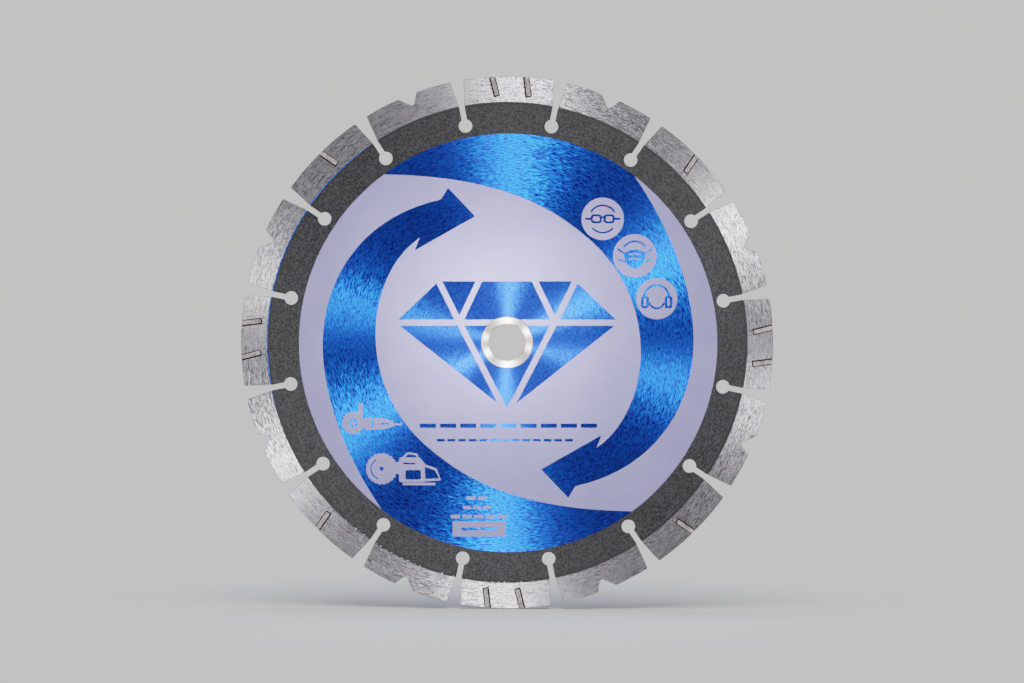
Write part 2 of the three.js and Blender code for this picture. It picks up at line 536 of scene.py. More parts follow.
def coat_material():
    """Charcoal coat with a fine speckle, and painted shade that darkens it along its outer edge, next to
    the weld.
    """
    n = Nodes("charcoal_rim_coat")
    speckle = n.noise(n.coordinates, scale=1500.0, detail=2.0, roughness=0.75)
    dashes = n.noise(n.streaks(30, 1.6), detail=3.0)
    tone = n.math("MULTIPLY_ADD", speckle, 0.8, n.math("MULTIPLY", dashes, 0.2))
    coat = n.mix(n.remap(tone, 0.43, 0.58), (0.0010, 0.0010, 0.0012), (0.0235, 0.0228, 0.0262))
    # Painted shade: the coat goes near-black along its outer edge
    seam_shade = n.remap(n.radius_mm(), COAT_SEAM_SHADE_FROM, COAT_SEAM_SHADE_TO)
    n.set(
        Base_Color=n.mix(seam_shade, coat, (0.004, 0.004, 0.0045)),
        Metallic=0.55,
        Roughness=n.remap(speckle, 0.35, 0.65, 0.50, 0.62),
        Anisotropic=0.6,
        Tangent=n.radial(),
        Normal=n.bump(speckle, 0.35, 0.00006),
    )
    return n.material


def ink_material():
    """Pale lavender screen ink with a satin face and a fine even grain."""
    n = Nodes("lavender_print_ink")
    grain = n.noise(n.coordinates, scale=2000.0, detail=2.0)
    cloud = n.noise(n.coordinates, scale=60.0, detail=2.0)
    tone = n.math("MULTIPLY_ADD", grain, 0.6, n.math("MULTIPLY", cloud, 0.4))
    n.set(
        Base_Color=n.mix(n.remap(tone, 0.35, 0.65), (0.245, 0.24, 0.45), (0.285, 0.28, 0.51)),
        Metallic=0.55,
        Roughness=0.19,
        Normal=n.bump(grain, 0.02, 0.00002),
    )
    return n.material


def segment_material():
    """Sintered bond ground around the rim, with drag marks and small torn pits painted near-black as their
    shade.
    """
    n = Nodes("ground_diamond_segment")
    drags = n.noise(n.streaks(50, 2.8), detail=4.0, roughness=0.70)
    long_drags = n.noise(n.streaks(18, 3.4, 17.0), detail=2.0)
    pits = n.noise(n.streaks(90, 1.7, 71.0), detail=2.0, roughness=0.6)
    # Painted shade: the small torn pits are coloured near-black
    pit_shade = n.math("MULTIPLY", n.remap(pits, 0.57, 0.66), n.remap(drags, 0.44, 0.56))
    tone = n.math("MULTIPLY_ADD", long_drags, 0.3, n.math("MULTIPLY", drags, 0.7))
    ground = n.mix(n.remap(tone, 0.38, 0.58), (0.060, 0.058, 0.063), (0.40, 0.39, 0.415))
    n.set(
        Base_Color=n.mix(pit_shade, ground, (0.012, 0.011, 0.012)),
        Metallic=0.88,
        Roughness=n.remap(drags, 0.3, 0.7, 0.37, 0.31),
        Anisotropic=0.98,
        Tangent=n.brushed_direction(drags, 0.7),
        Normal=n.bump(n.math("SUBTRACT", tone, pit_shade), 0.30, 0.00008),
    )
    return n.material


def segment_wall_material():
    """Segment walls and rim as pressed: duller, with grit standing in the bond."""
    n = Nodes("pressed_diamond_bond")
    grit = n.noise(n.coordinates, scale=2300.0, detail=2.0, roughness=0.6)
    cloud = n.noise(n.coordinates, scale=300.0, detail=2.0)
    n.set(
        Base_Color=n.mix(n.remap(grit, 0.40, 0.64), (0.10, 0.095, 0.095), (0.40, 0.385, 0.38)),
        Metallic=0.8,
        Roughness=n.remap(cloud, 0.3, 0.7, 0.5, 0.68),
        Normal=n.bump(grit, 0.6, 0.00012),
    )
    return n.material


def inlay_material():
    """Softer reddish bond of the inlay bars, open-grained."""
    n = Nodes("inlay_bond")
    grain = n.noise(n.coordinates, scale=1500.0, detail=3.0, roughness=0.65)
    cloud = n.noise(n.coordinates, scale=260.0, detail=1.0)
    tone = n.math("MULTIPLY_ADD", grain, 0.7, n.math("MULTIPLY", cloud, 0.3))
    n.set(
        Base_Color=n.mix(n.remap(tone, 0.36, 0.64), (0.080, 0.069, 0.070), (0.28, 0.242, 0.245)),
        Metallic=0.55,
        Roughness=n.remap(cloud, 0.3, 0.7, 0.5, 0.64),
        Normal=n.bump(grain, 0.5, 0.00008),
    )
    return n.material


def gap_shade_material():
    """Near-black painted shade for the gap around an inlay bar and for the hairline grooves of the
    segments.
    """
    n = Nodes("inlay_gap_shade")
    grain = n.noise(n.coordinates, scale=1900.0, detail=2.0)
    n.set(
        Base_Color=n.mix(n.remap(grain, 0.35, 0.65), (0.0010, 0.0007, 0.0007), (0.0070, 0.0050, 0.0050)),
        Roughness=n.remap(grain, 0.3, 0.7, 0.75, 0.95),
        Specular_IOR_Level=0.1,
        Normal=n.bump(grain, 0.5, 0.00008),
    )
    return n.material


def weld_material():
    """Laser weld, its steel painted near-black: heat-darkened, and darker still as painted shade in the
    seam between plate and segment. It is blue along the blade's left and upper left, and has bright specks
    from its bottom to its lower left."""
    n = Nodes("laser_weld")
    ripple = n.noise(n.streaks(420, 1.0), detail=2.0)
    spots = n.noise(n.coordinates, scale=1100.0, detail=1.0)
    # Blue over the weld's outer part along the blade's left and upper left
    blue_stretch = n.sector(BLUE_WELD_MIDDLE, BLUE_WELD_HALF_ANGLE, spots)
    # Bright specks on the weld from its bottom to its lower left
    speckled_stretch = n.sector(BRIGHT_SPECKS_MIDDLE, BRIGHT_SPECKS_HALF_ANGLE, spots)
    outward = n.remap(n.radius_mm(), BLUE_WELD_FROM, BLUE_WELD_TO)
    # Near-black weld steel: heat tint together with painted shade of the seam
    steel = n.mix(n.remap(ripple, 0.35, 0.65), (0.006, 0.006, 0.007), (0.04, 0.039, 0.044))
    bright = n.math("MULTIPLY", n.remap(spots, 0.60, 0.66), speckled_stretch)
    speckled_steel = n.mix(bright, steel, (0.6, 0.58, 0.57))
    blue = n.mix(n.remap(spots, 0.35, 0.65), (0.002, 0.025, 0.20), (0.010, 0.150, 0.70))
    n.set(
        Base_Color=n.mix(n.math("MULTIPLY", blue_stretch, outward), speckled_steel, blue),
        Metallic=0.9,
        Roughness=n.remap(ripple, 0.3, 0.7, 0.35, 0.55),
        Normal=n.bump(ripple, 0.5, 0.00008),
    )
    return n.material


def cut_material():
    """Laser-cut walls of the plate: scale-brown steel with marks that run through the thickness."""
    n = Nodes("laser_cut_steel")
    x, y, z = n.split(n.coordinates)
    marks = n.noise(n.join(x, n.math("MULTIPLY", y, 0.08), z), scale=4200.0, detail=2.0)
    cloud = n.noise(n.coordinates, scale=500.0, detail=2.0)
    n.set(
        Base_Color=n.mix(n.remap(marks, 0.35, 0.65), (0.030, 0.027, 0.026), (0.17, 0.155, 0.145)),
        Metallic=0.85,
        Roughness=n.remap(cloud, 0.3, 0.7, 0.42, 0.6),
        Normal=n.bump(marks, 0.5, 0.0001),
    )
    return n.material


def ring_material():
    """Turned ring with a warm plating, its tool marks going round the bore."""
    n = Nodes("turned_plated_steel")
    marks = n.noise(n.streaks(7, 9.0), detail=2.0)
    cloud = n.noise(n.streaks(5, 0.6, 9.0), detail=1.0)
    tone = n.math("MULTIPLY_ADD", marks, 0.6, n.math("MULTIPLY", cloud, 0.4))
    n.set(
        Base_Color=n.mix(n.remap(tone, 0.3, 0.7), (0.74, 0.68, 0.58), (0.98, 0.95, 0.89)),
        Metallic=1.0,
        Roughness=n.remap(marks, 0.3, 0.7, 0.34, 0.40),
        Anisotropic=1.0,
        Tangent=n.radial(),
        Normal=n.bump(marks, 0.15, 0.00004),
    )
    return n.material


def floor_material():
    n = Nodes("pale_floor")
    grain = n.noise(n.coordinates, scale=3.0, detail=2.0)
    n.set(
        Base_Color=n.mix(grain, (0.72, 0.72, 0.715), (0.74, 0.74, 0.735)),
        Roughness=n.remap(grain, 0.0, 1.0, 0.85, 0.95),
        Specular_IOR_Level=0.0,
    )
    return n.material


# Plate and its coats

ARC_STEP = 0.6


def gullet(radius, spread=0.0):
    """One gullet's wall in the middle between two segments, from the outer circle round the keyhole and
    back, its width grown by the spread."""
    half = SLOT_WIDTH / 2 + spread
    keyhole = KEYHOLE_RADIUS + spread
    mouth = math.degrees(math.asin(half / keyhole))
    height = math.sqrt(radius * radius - half * half)
    around = arc((0.0, KEYHOLE_CENTRE_RADIUS), keyhole, -mouth, mouth - 360, 9.0)
    return [(-half, height), *around, (half, height)]


def toothed_circle(radius):
    """The plate's rim with its sixteen gullets, clockwise."""
    half_land = PITCH / 2 - math.degrees(math.asin(SLOT_WIDTH / 2 / radius))
    outline = []
    for i in range(SEGMENT_COUNT):
        middle = i * PITCH
        land = arc((0.0, 0.0), radius, middle - half_land, middle + half_land, ARC_STEP)
        outline += land[1:-1]
        outline += turned(gullet(radius), middle + PITCH / 2)
    return outline


def build_plate(lacquer, cut):
    mesh = bmesh.new()
    bore = disc((0.0, 0.0), ARBOR_RADIUS, 2.0)
    slab(mesh, toothed_circle(CORE_RADIUS), [bore], CORE_FACE, CUT_EDGE, (0, 1, 1))
    data = finished(mesh, "core_plate")
    new_piece("core_plate", data, "blade", [lacquer, cut], ["steel_core"])


def build_rim_coats(coat):
    """The charcoal ring on each face, its inner edge off centre with the print, open at each gullet."""
    inner = turned(disc(PRINT_SHIFT, COAT_INNER_RADIUS, ARC_STEP), ARTWORK_TURN)
    for name, side in (("rim_coat_front", -1), ("rim_coat_back", 1)):
        outer = disc((0.0, 0.0), COAT_OUTER_RADIUS, ARC_STEP)
        shapes = [(True, outer), (False, inner)]
        for i in range(SEGMENT_COUNT):
            wall = gullet(CORE_RADIUS + COAT_GULLET_OVERRUN, COAT_GULLET_MARGIN)
            shapes.append((False, turned(wall, (i + 0.5) * PITCH)))
        back = side * (CORE_FACE - LAYER / 2)
        front = side * (CORE_FACE + LAYER)
        data = printed_layer(name, shapes, back, front)
        new_piece(name, data, "blade", [coat])


# Weld between the plate and each segment

WELD_RIPPLE_ANGLE = 0.16
WELD_RIPPLE = 0.05
# The bead stops this many degrees short of the foot's ends, and its root is inside the plate's edge
WELD_END_GAP = 0.12
WELD_ROOT = 0.86

# Section of the bead's front: radius, height from the plate's middle and share of the ripple
WELD_PROFILE = (
    (WELD_INNER_RADIUS, WELD_ROOT, 0.0),
    (WELD_INNER_RADIUS + 0.12, CORE_FACE + 0.03, 0.3),
    (WELD_INNER_RADIUS + 0.35, CORE_FACE + 0.08, 1.0),
    (WELD_OUTER_RADIUS - 0.12, CORE_FACE + 0.12, 0.6),
    (WELD_OUTER_RADIUS, CORE_FACE + 0.08, 0.0),
)


def build_welds(weld):
    """A narrow rippled bead along every segment's foot, on both faces and through the joint."""
    rng = random.Random(5)
    mesh = bmesh.new()
    half = FOOT_HALF_ANGLE - WELD_END_GAP
    count = round(2 * half / WELD_RIPPLE_ANGLE)
    section = both_faces(WELD_PROFILE)
    for i in range(SEGMENT_COUNT):
        rows = []
        for k in range(count + 1):
            angle = i * PITCH - half + 2 * half * k / count
            lift = WELD_RIPPLE * rng.random()
            row = []
            for radius, y, ripple in section:
                x, z = polar(radius, angle)
                height = y + math.copysign(lift * ripple, y)
                row.append(mesh.verts.new((x * MM, height * MM, z * MM)))
            rows.append(row)
        skin(mesh, rows, [True] * len(section))
        mesh.faces.new(rows[0])
        mesh.faces.new(rows[-1])
    data = finished(mesh, "weld_beads", sharp=60)
    new_piece("weld_beads", data, "blade", [weld])


# Segments and inlays

SEGMENT_EDGE = 0.14
RIM_CORNER = 0.55
FOOT_CORNER = 0.25
SLOT_CORNER = 0.3
NOTCH_MOUTH_CORNER = 0.35
NOTCH_FLOOR_CORNER = 0.8
SLOT_MOUTH_CORNER = 0.2
STUB_LINE_SPACING = INLAY_SLOT_WIDTH - 0.35
STUB_LINE_WIDTH = 0.28
STUB_LINE_DEPTH = 0.12
STUB_LINE_FROM = 0.6
STUB_LINE_TO = 1.75


def slot_walls(rim_angle, width, shift=0.0, floor_radius=INLAY_FLOOR_RADIUS):
    """The two walls of an inlay slot, as (floor point, rim point) pairs before and after its middle."""
    rim = Vector(polar(BLADE_RADIUS, rim_angle))
    floor = Vector(polar(INLAY_FLOOR_RADIUS, rim_angle + INLAY_SLANT))
    direction = (rim - floor).normalized()
    sideways = Vector((direction.y, -direction.x))
    floor += direction * (floor_radius - INLAY_FLOOR_RADIUS)
    walls = []
    for side in (-1, 1):
        start = floor + sideways * (side * width / 2 + shift)
        walls.append((tuple(start), line_to_circle(start, start + direction, BLADE_RADIUS)))
    return walls


def rim_corners(start, end):
    """Plain corners along the rim, with the segment's middle always among them."""
    if start < 0 < end:
        return rim_corners(start, 0) + rim_corners(0, end)[1:]
    return [(x, z, 0.0) for x, z in arc((0.0, 0.0), BLADE_RADIUS, start, end, 1.0)]


def segment_outline(cuts):
    """A segment at the top of the blade. A cut is the angle where the rim stops, its corners, and the
    angle where the rim goes on."""
    foot = arc((0.0, 0.0), FOOT_RADIUS, FOOT_HALF_ANGLE, -FOOT_HALF_ANGLE, 1.0)
    corners = [(x, z, 0.0) for x, z in foot]
    corners[0] = (*foot[0], FOOT_CORNER)
    corners[-1] = (*foot[-1], FOOT_CORNER)
    angle = -RIM_HALF_ANGLE
    radius = RIM_CORNER
    for start, points, end, mouth in cuts:
        rim = rim_corners(angle, start)
        rim[0] = (*rim[0][:2], radius)
        rim[-1] = (*rim[-1][:2], mouth)
        corners += rim + points
        angle = end
        radius = mouth
    rim = rim_corners(angle, RIM_HALF_ANGLE)
    rim[0] = (*rim[0][:2], radius)
    rim[-1] = (*rim[-1][:2], RIM_CORNER)
    return rounded(corners + rim)


def slot_cut(rim_angle):
    (floor_a, rim_a), (floor_b, rim_b) = slot_walls(rim_angle, INLAY_SLOT_WIDTH)
    floor = [(*floor_a, SLOT_CORNER), (*floor_b, SLOT_CORNER)]
    return (angle_of(rim_a), floor, angle_of(rim_b), SLOT_MOUTH_CORNER)


def notch_cut():
    x, z = polar(NOTCH_FLOOR_RADIUS, NOTCH_FLOOR_ANGLE)
    half = NOTCH_FLOOR_WIDTH / 2
    floor = [(x - half, z, NOTCH_FLOOR_CORNER), (x + half, z, NOTCH_FLOOR_CORNER)]
    return (NOTCH_FROM_ANGLE, floor, NOTCH_TO_ANGLE, NOTCH_MOUTH_CORNER)


def stub_lines(rim_angle):
    """Two hairline grooves that carry an inlay slot's walls on towards the segment's foot."""
    lines = []
    for floor, rim in slot_walls(rim_angle, STUB_LINE_SPACING):
        start = Vector(floor)
        direction = (Vector(rim) - start).normalized()
        sideways = Vector((direction.y, -direction.x)) * (STUB_LINE_WIDTH / 2)
        top = start - direction * STUB_LINE_FROM
        low = start - direction * STUB_LINE_TO
        lines.append([tuple(p) for p in (low - sideways, low + sideways, top + sideways, top - sideways)])
    return lines


def build_segment(name, node, slot_angles, angle, finishes):
    cuts = [slot_cut(a) for a in slot_angles] if slot_angles else [notch_cut()]
    # The hairline grooves take the near-black painted shade of the inlay joints
    pockets = [turned(line, angle) for a in slot_angles for line in stub_lines(a)]
    outline = turned(segment_outline(cuts), angle)
    mesh = bmesh.new()
    slab(mesh, outline, [], SEGMENT_FACE, SEGMENT_EDGE, (0, 1, 2), pockets, STUB_LINE_DEPTH)
    used = finishes if slot_angles else finishes[:2]
    new_piece(name, finished(mesh, name), "blade", used, [node])


def bar_outline(slot_angle, width, shift, foot_radius, rim_radius, corner):
    """An upright bar in an inlay slot, from its foot to the rim."""
    (foot_a, rim_a), (foot_b, rim_b) = slot_walls(slot_angle, width, shift, foot_radius)
    rim = arc((0.0, 0.0), rim_radius, angle_of(rim_a), angle_of(rim_b), 0.5)
    return rounded([(*foot_b, corner), (*foot_a, corner)] + [(x, z, 0.0) for x, z in rim])


def build_inlay(name, node, slot_angle, angle, inlay, gap_shade):
    """A bar nearer the slot's clockwise wall, with its face below the segment's, standing out of the sunken
    joint, coloured near-black as painted shade, that fills the rest of the slot."""
    fill = bar_outline(
        slot_angle, INLAY_SLOT_WIDTH - 2 * JOINT_GAP, 0.0,
        INLAY_FLOOR_RADIUS + JOINT_GAP, BLADE_RADIUS - JOINT_RIM_RECESS, SLOT_CORNER,
    )
    bar = bar_outline(
        slot_angle, INLAY_BAR_WIDTH, INLAY_BAR_SHIFT,
        INLAY_BAR_FOOT_RADIUS, BLADE_RADIUS - BAR_RIM_RECESS, BAR_CORNER,
    )
    fill = turned(fill, angle)
    bar = turned(bar, angle)
    raised = inset(bar, BAR_EDGE if signed_area(bar) > 0 else -BAR_EDGE)
    bar_face = SEGMENT_FACE - INLAY_RECESS
    fill_face = SEGMENT_FACE - JOINT_RECESS
    mesh = bmesh.new()
    for side in (-1, 1):
        cap(mesh, [raised], side * bar_face)
        band(mesh, raised, side * bar_face, bar, side * (bar_face - BAR_EDGE), smooth=False)
        band(mesh, bar, side * (bar_face - BAR_EDGE), bar, side * fill_face)
        cap(mesh, [fill, bar], side * fill_face, 1)
    band(mesh, fill, -fill_face, fill, fill_face, 1)
    new_piece(name, finished(mesh, name), "blade", [inlay, gap_shade], [node])


def build_rim(bond, wall, inlay, gap_shade):
    """All sixteen segments and their inlays, named after the CAD nodes that they stand for."""
    finishes = [bond, wall, gap_shade]
    for quarter in range(4):
        number = quarter + 1
        for kind, slots, angle in (
            ("twin", TWIN_SLOT_ANGLES, quarter * 90),
            ("single", SINGLE_SLOT_ANGLES, quarter * 90 + 2 * PITCH),
        ):
            build_segment(f"{kind}_segment_{number}", f"segment_{kind}_{number}", slots, angle, finishes)
            for slot_angle, letter in zip(slots, "ab" if len(slots) > 1 else ("",)):
                name = f"{kind}_inlay_bar_{number}{letter}"
                build_inlay(name, f"inlay_{kind}_{number}{letter}", slot_angle, angle, inlay, gap_shade)
    for i in range(SEGMENT_COUNT // 2):
        angle = (2 * i + 1) * PITCH
        build_segment(f"notch_segment_{i + 1}", f"segment_notch_{i + 1}", (), angle, finishes)


# Print

ARROW_BAND_INNER = (
    ((-52.5, 72.2), (0.7, 71.4), (21.0, 55.6), (31.3, 47.7)),
    ((31.3, 47.7), (68.1, 19.8), (61.9, -29.8), (38.4, -45.4)),
)
ARROW_BAND_OUTER = (
    ((29.3, -61.8), (65.9, -53.9), (82.5, -23.8), (79.9, 7.1)),
    ((79.9, 7.1), (79.3, 13.7), (77.0, 38.7), (55.0, 71.1)),
)
ARROW_HEAD = ((40.6, -39.9), (14.6, -54.6), (26.3, -66.8))
BAND_CIRCLE_FROM = 36.4
BAND_CIRCLE_TO = 143.75


def opposite(points):
    """The points turned half a turn about the artwork's own middle."""
    return [(2 * PRINT_SHIFT[0] - x, 2 * PRINT_SHIFT[1] - z) for x, z in points]


def curve_through(parts):
    points = []
    for part in parts:
        points += bezier(*part)[1 if points else 0:]
    return points


def ink_field():
    """The lavender field: the whole print circle less the two bands, each of which ends in an arrow."""
    inner = curve_through(ARROW_BAND_INNER)
    outer = curve_through(ARROW_BAND_OUTER)
    band = inner + list(ARROW_HEAD) + outer
    circle = arc(PRINT_SHIFT, PRINT_RADIUS, BAND_CIRCLE_FROM, BAND_CIRCLE_TO, 1.0)
    return circle + opposite(band) + opposite(circle) + band


def thick_line(points, width):
    """A band of even width along a few points."""
    half = width / 2
    left = []
    right = []
    for i, point in enumerate(points):
        a = Vector(points[max(i - 1, 0)])
        b = Vector(points[min(i + 1, len(points) - 1)])
        along = (b - a).normalized()
        across = Vector((-along.y, along.x)) * half
        left.append(tuple(Vector(point) + across))
        right.append(tuple(Vector(point) - across))
    return left + right[::-1]


def inset_facet(points, distance):
    """Like inset, but exact however sharp the corners are."""
    moved = []
    total = len(points)
    for i in range(total):
        a, b, c = (Vector(points[(i + k) % total]) for k in (-1, 0, 1))
        before = (a - b).normalized()
        after = (c - b).normalized()
        half = before.angle(after) / 2
        moved.append(tuple(b + (before + after).normalized() * (distance / math.sin(half))))
    return moved


# The emblem: a cut stone seen from the side, its facets left bare in the ink
GEM_TABLE = (-30.0, -11.5, 11.5, 30.0)
GEM_TABLE_HEIGHT = 27.5
GEM_GIRDLE = (-50.0, -20.5, 20.5, 50.0)
GEM_GIRDLE_HEIGHT = 8.5
GEM_POINT = (0.0, -31.0)
GEM_LINE = 2.6


def gem_facets():
    table = [(x, GEM_TABLE_HEIGHT) for x in GEM_TABLE]
    girdle = [(x, GEM_GIRDLE_HEIGHT) for x in GEM_GIRDLE]
    facets = [
        [table[0], girdle[0], girdle[1]],
        [table[0], girdle[1], table[1]],
        [table[1], girdle[1], girdle[2], table[2]],
        [table[2], girdle[2], table[3]],
        [table[3], girdle[2], girdle[3]],
        [girdle[0], GEM_POINT, girdle[1]],
        [girdle[1], GEM_POINT, girdle[2]],
        [girdle[2], GEM_POINT, girdle[3]],
    ]
    shapes = []
    for facet in facets:
        outline = facet if signed_area(facet) > 0 else facet[::-1]
        shapes.append(inset_facet(outline, GEM_LINE / 2))
    return shapes


# Safety signs: the middle and radius of each disc. The icons are drawn about their own middle
ICON_DISCS = (((41.1, 53.1), 9.15), ((54.9, 37.2), 9.35), ((64.3, 18.8), 8.9))


def goggles_icon():
    shapes = []
    for side in (-1, 1):
        lens = side * 2.75
        strap = side * 6.3
        shapes.append((False, rounded_box(lens - 2.35, lens + 2.35, -1.9, 1.9, 1.2)))
        shapes.append((False, box(strap - 1.3, strap + 1.3, -0.45, 0.45)))
        shapes.append((True, rounded_box(lens - 1.5, lens + 1.5, -1.1, 1.1, 0.7)))
    shapes.append((False, thick_line(arc((0.0, -1.2), 1.9, -40, 40, 20), 0.8)))
    shapes.append((False, thick_line(arc((0.0, -0.2), 6.0, -58, 58, 12), 0.7)))
    shapes.append((False, thick_line(arc((0.0, -0.2), 5.8, 130, 230, 12), 0.7)))
    return shapes


def mask_icon():
    shell = bezier((-4.6, 1.2), (-1.5, 3.2), (1.5, 3.2), (4.6, 1.2), 8)
    shell += bezier((4.6, 1.2), (4.4, -3.8), (2.0, -5.4), (0.0, -5.4), 8)[1:]
    shell += bezier((0.0, -5.4), (-2.0, -5.4), (-4.4, -3.8), (-4.6, 1.2), 8)[1:-1]
    shapes = [(False, shell)]
    for height in (0.6, -1.6):
        pleat = [(-2.6, height), (0.0, height + 0.5), (2.6, height)]
        shapes.append((True, thick_line(pleat, 0.6)))
    for side in (-1, 1):
        shapes.append((False, thick_line([(side * 4.2, 0.8), (side * 7.4, 3.0)], 0.7)))
        shapes.append((False, thick_line([(side * 3.6, -2.6), (side * 7.4, -1.6)], 0.7)))
    shapes.append((False, thick_line(arc((0.0, 0.6), 5.6, -56, 56, 12), 0.8)))
    return shapes


def ear_defender_icon():
    shapes = [(False, thick_line(arc((0.0, 0.4), 5.4, -88, 88, 11), 0.9))]
    for side in (-1, 1):
        cup = side * 5.1
        shapes.append((False, rounded_box(cup - 1.7, cup + 1.7, -4.2, 1.2, 1.2)))
        shapes.append((True, rounded_box(cup - 0.5, cup + 0.5, -3.2, 0.2, 0.4)))
    shapes.append((False, thick_line(arc((0.0, -1.0), 3.2, 100, 260, 16), 0.8)))
    return shapes


def safety_icons():
    shapes = []
    for (centre, radius), icon in zip(ICON_DISCS, (goggles_icon, mask_icon, ear_defender_icon)):
        shapes.append((True, disc(centre, radius)))
        shapes += [(has_ink, turned(loop, 0, centre)) for has_ink, loop in icon()]
    return shapes


def toothed_disc(centre, radius, teeth, depth):
    """A saw disc. Each tooth has four corners, given as shares of the pitch with their radius."""
    root = radius - depth
    points = []
    for i in range(teeth):
        for turn, size in ((0.0, root), (0.15, radius), (0.75, radius), (0.9, root)):
            x, z = polar(size, (i + turn) * 360 / teeth)
            points.append((centre[0] + x, centre[1] + z))
    return points


GRINDER_WHEEL = (-66.1, -34.6)
SAW_WHEEL = (-53.9, -54.3)


def grinder_pictogram():
    body = [(-61.0, -32.2), (-52.0, -32.8), (-48.6, -34.0), (-48.6, -36.0), (-52.0, -37.2), (-61.0, -37.6)]
    return [
        (True, toothed_disc(GRINDER_WHEEL, 4.9, 16, 0.5)),
        (False, disc(GRINDER_WHEEL, 1.9, 20)),
        (True, disc(GRINDER_WHEEL, 1.1, 30)),
        (True, [(-64.2, -33.2), (-60.5, -33.0), (-60.5, -36.6), (-64.2, -36.2)]),
        (True, rounded([(x, z, 0.5) for x, z in body], 3)),
        (False, box(-58.2, -57.5, -36.9, -33.0)),
        (False, box(-54.4, -50.6, -35.3, -34.6)),
        (True, rounded_box(-63.9, -62.0, -33.6, -26.1, 0.8)),
        (True, thick_line([(-48.8, -35.0), (-46.6, -35.3), (-45.0, -34.7)], 0.7)),
    ]


def cut_off_saw_pictogram():
    body = [(-46.4, -49.4), (-37.6, -49.4), (-35.4, -52.0), (-35.1, -60.1), (-46.4, -60.1)]
    return [
        (True, toothed_disc(SAW_WHEEL, 6.8, 22, 0.6)),
        (False, disc(SAW_WHEEL, 0.75, 40)),
        (False, thick_line(arc(SAW_WHEEL, 4.6, 200, 330, 12), 0.5)),
        (True, [(-54.0, -52.4), (-46.0, -51.2), (-46.0, -56.6), (-54.0, -56.0)]),
        (False, disc(SAW_WHEEL, 0.9, 40)),
        (True, rounded([(x, z, 0.8) for x, z in body], 3)),
        (False, rounded_box(-43.7, -37.0, -58.9, -54.9, 0.6)),
        (False, box(-44.6, -39.4, -52.4, -51.7)),
        (True, thick_line([(-35.6, -52.8), (-30.6, -54.6), (-28.8, -58.9), (-35.6, -59.2)], 1.1)),
        (True, thick_line([(-45.4, -50.2), (-42.6, -47.6), (-38.8, -48.2), (-38.4, -50.0)], 1.0)),
        (True, box(-44.9, -30.8, -61.4, -60.3)),
    ]


# Rules where the printed lines of words would be: low, high, start, end, length of a dash and gap
FIELD_RULES = (
    (-36.7, -34.9, -37.5, 38.7, 6.6, 1.7),
    (-42.6, -41.5, -30.2, 28.3, 3.3, 1.2),
)
BAND_RULES = (
    (-67.6, -66.2, -17.5, -8.4, 4.0, 1.0),
    (-71.6, -70.2, -18.9, -7.0, 3.2, 1.0),
    (-75.6, -74.1, -24.3, 0.0, 4.6, 1.0),
)
BAND_BOX = (-23.4, -0.6, -83.4, -76.9)
BAND_BOX_RULE = (-80.8, -79.5, -19.6, -4.4, 6.4, 1.2)


def dash_row(low, high, start, end, dash, gap):
    """A row of even dashes that fills the length exactly."""
    count = round((end - start + gap) / (dash + gap))
    pitch = (end - start + gap) / count
    return [box(start + i * pitch, start + (i + 1) * pitch - gap, low, high) for i in range(count)]


def rule_lines():
    """Plain slim rules: bare on the field, in ink on the lower band, and bare again in a box of ink."""
    shapes = [(False, bar) for rule in FIELD_RULES for bar in dash_row(*rule)]
    shapes += [(True, bar) for rule in BAND_RULES for bar in dash_row(*rule)]
    shapes.append((True, box(*BAND_BOX)))
    shapes += [(False, bar) for bar in dash_row(*BAND_BOX_RULE)]
    return shapes


def build_print(ink):
    shapes = [(True, ink_field())]
    shapes += [(False, facet) for facet in gem_facets()]
    shapes += rule_lines()
    shapes += safety_icons() + grinder_pictogram() + cut_off_saw_pictogram()
    shapes = [(has_ink, turned(loop, ARTWORK_TURN)) for has_ink, loop in shapes]
    shapes.append((False, disc((0.0, 0.0), PRINT_BORE_RADIUS, 4.0)))
    data = printed_layer("print_ink", shapes, -(CORE_FACE - LAYER / 2), -(CORE_FACE + LAYER))
    return new_piece("print_ink", data, "blade", [ink])


# Reducer ring

KNURL_TEETH = 120
KNURL_DEPTH = 0.16
KNURL_SHAPE = (0.0, 0.25, 1.0, 0.25)
RING_CHAMFER = 0.34
RING_BORE_CHAMFER = 0.26

# Section of the ring's front: radius, height from the plate's middle and share of the knurl
RING_PROFILE = (
    (RING_BORE_RADIUS, RING_FACE - RING_BORE_CHAMFER, 0.0),
    (RING_BORE_RADIUS + RING_BORE_CHAMFER, RING_FACE, 0.0),
    (RING_RADIUS - RING_CHAMFER, RING_FACE, 0.0),
    (RING_RADIUS, RING_FACE - RING_CHAMFER * 0.6, 1.0),
)


def build_ring(material):
    """The turned ring: chamfered bore, chamfered faces, and a straight knurl around the outside."""
    section = both_faces(RING_PROFILE)
    mesh = bmesh.new()
    steps = KNURL_TEETH * len(KNURL_SHAPE)
    rows = []
    for i in range(steps):
        depth = KNURL_DEPTH * KNURL_SHAPE[i % len(KNURL_SHAPE)]
        row = []
        for radius, y, knurl in section:
            x, z = polar(radius - knurl * depth, 360 * i / steps)
            row.append(mesh.verts.new((x * MM, y * MM, z * MM)))
        rows.append(row)
    plain = [a[2] + b[2] == 0 for a, b in zip(section, section[1:] + section[:1])]
    skin(mesh, rows + rows[:1], plain)
    data = finished(mesh, "reducer_ring", sharp=30)
    return new_piece("reducer_ring", data, "reducer", [material], ["reducer_bushing"])


# Floor, light and camera

# The floor in metres, the share of light that it gives back, and the strengths of the sky and the room
FLOOR_SIZE = 120.0
FLOOR_GAP = 0.0002
FLOOR_ALBEDO = 0.73
FLOOR_GLOW = 3.1
WORLD_GLOW = 0.04


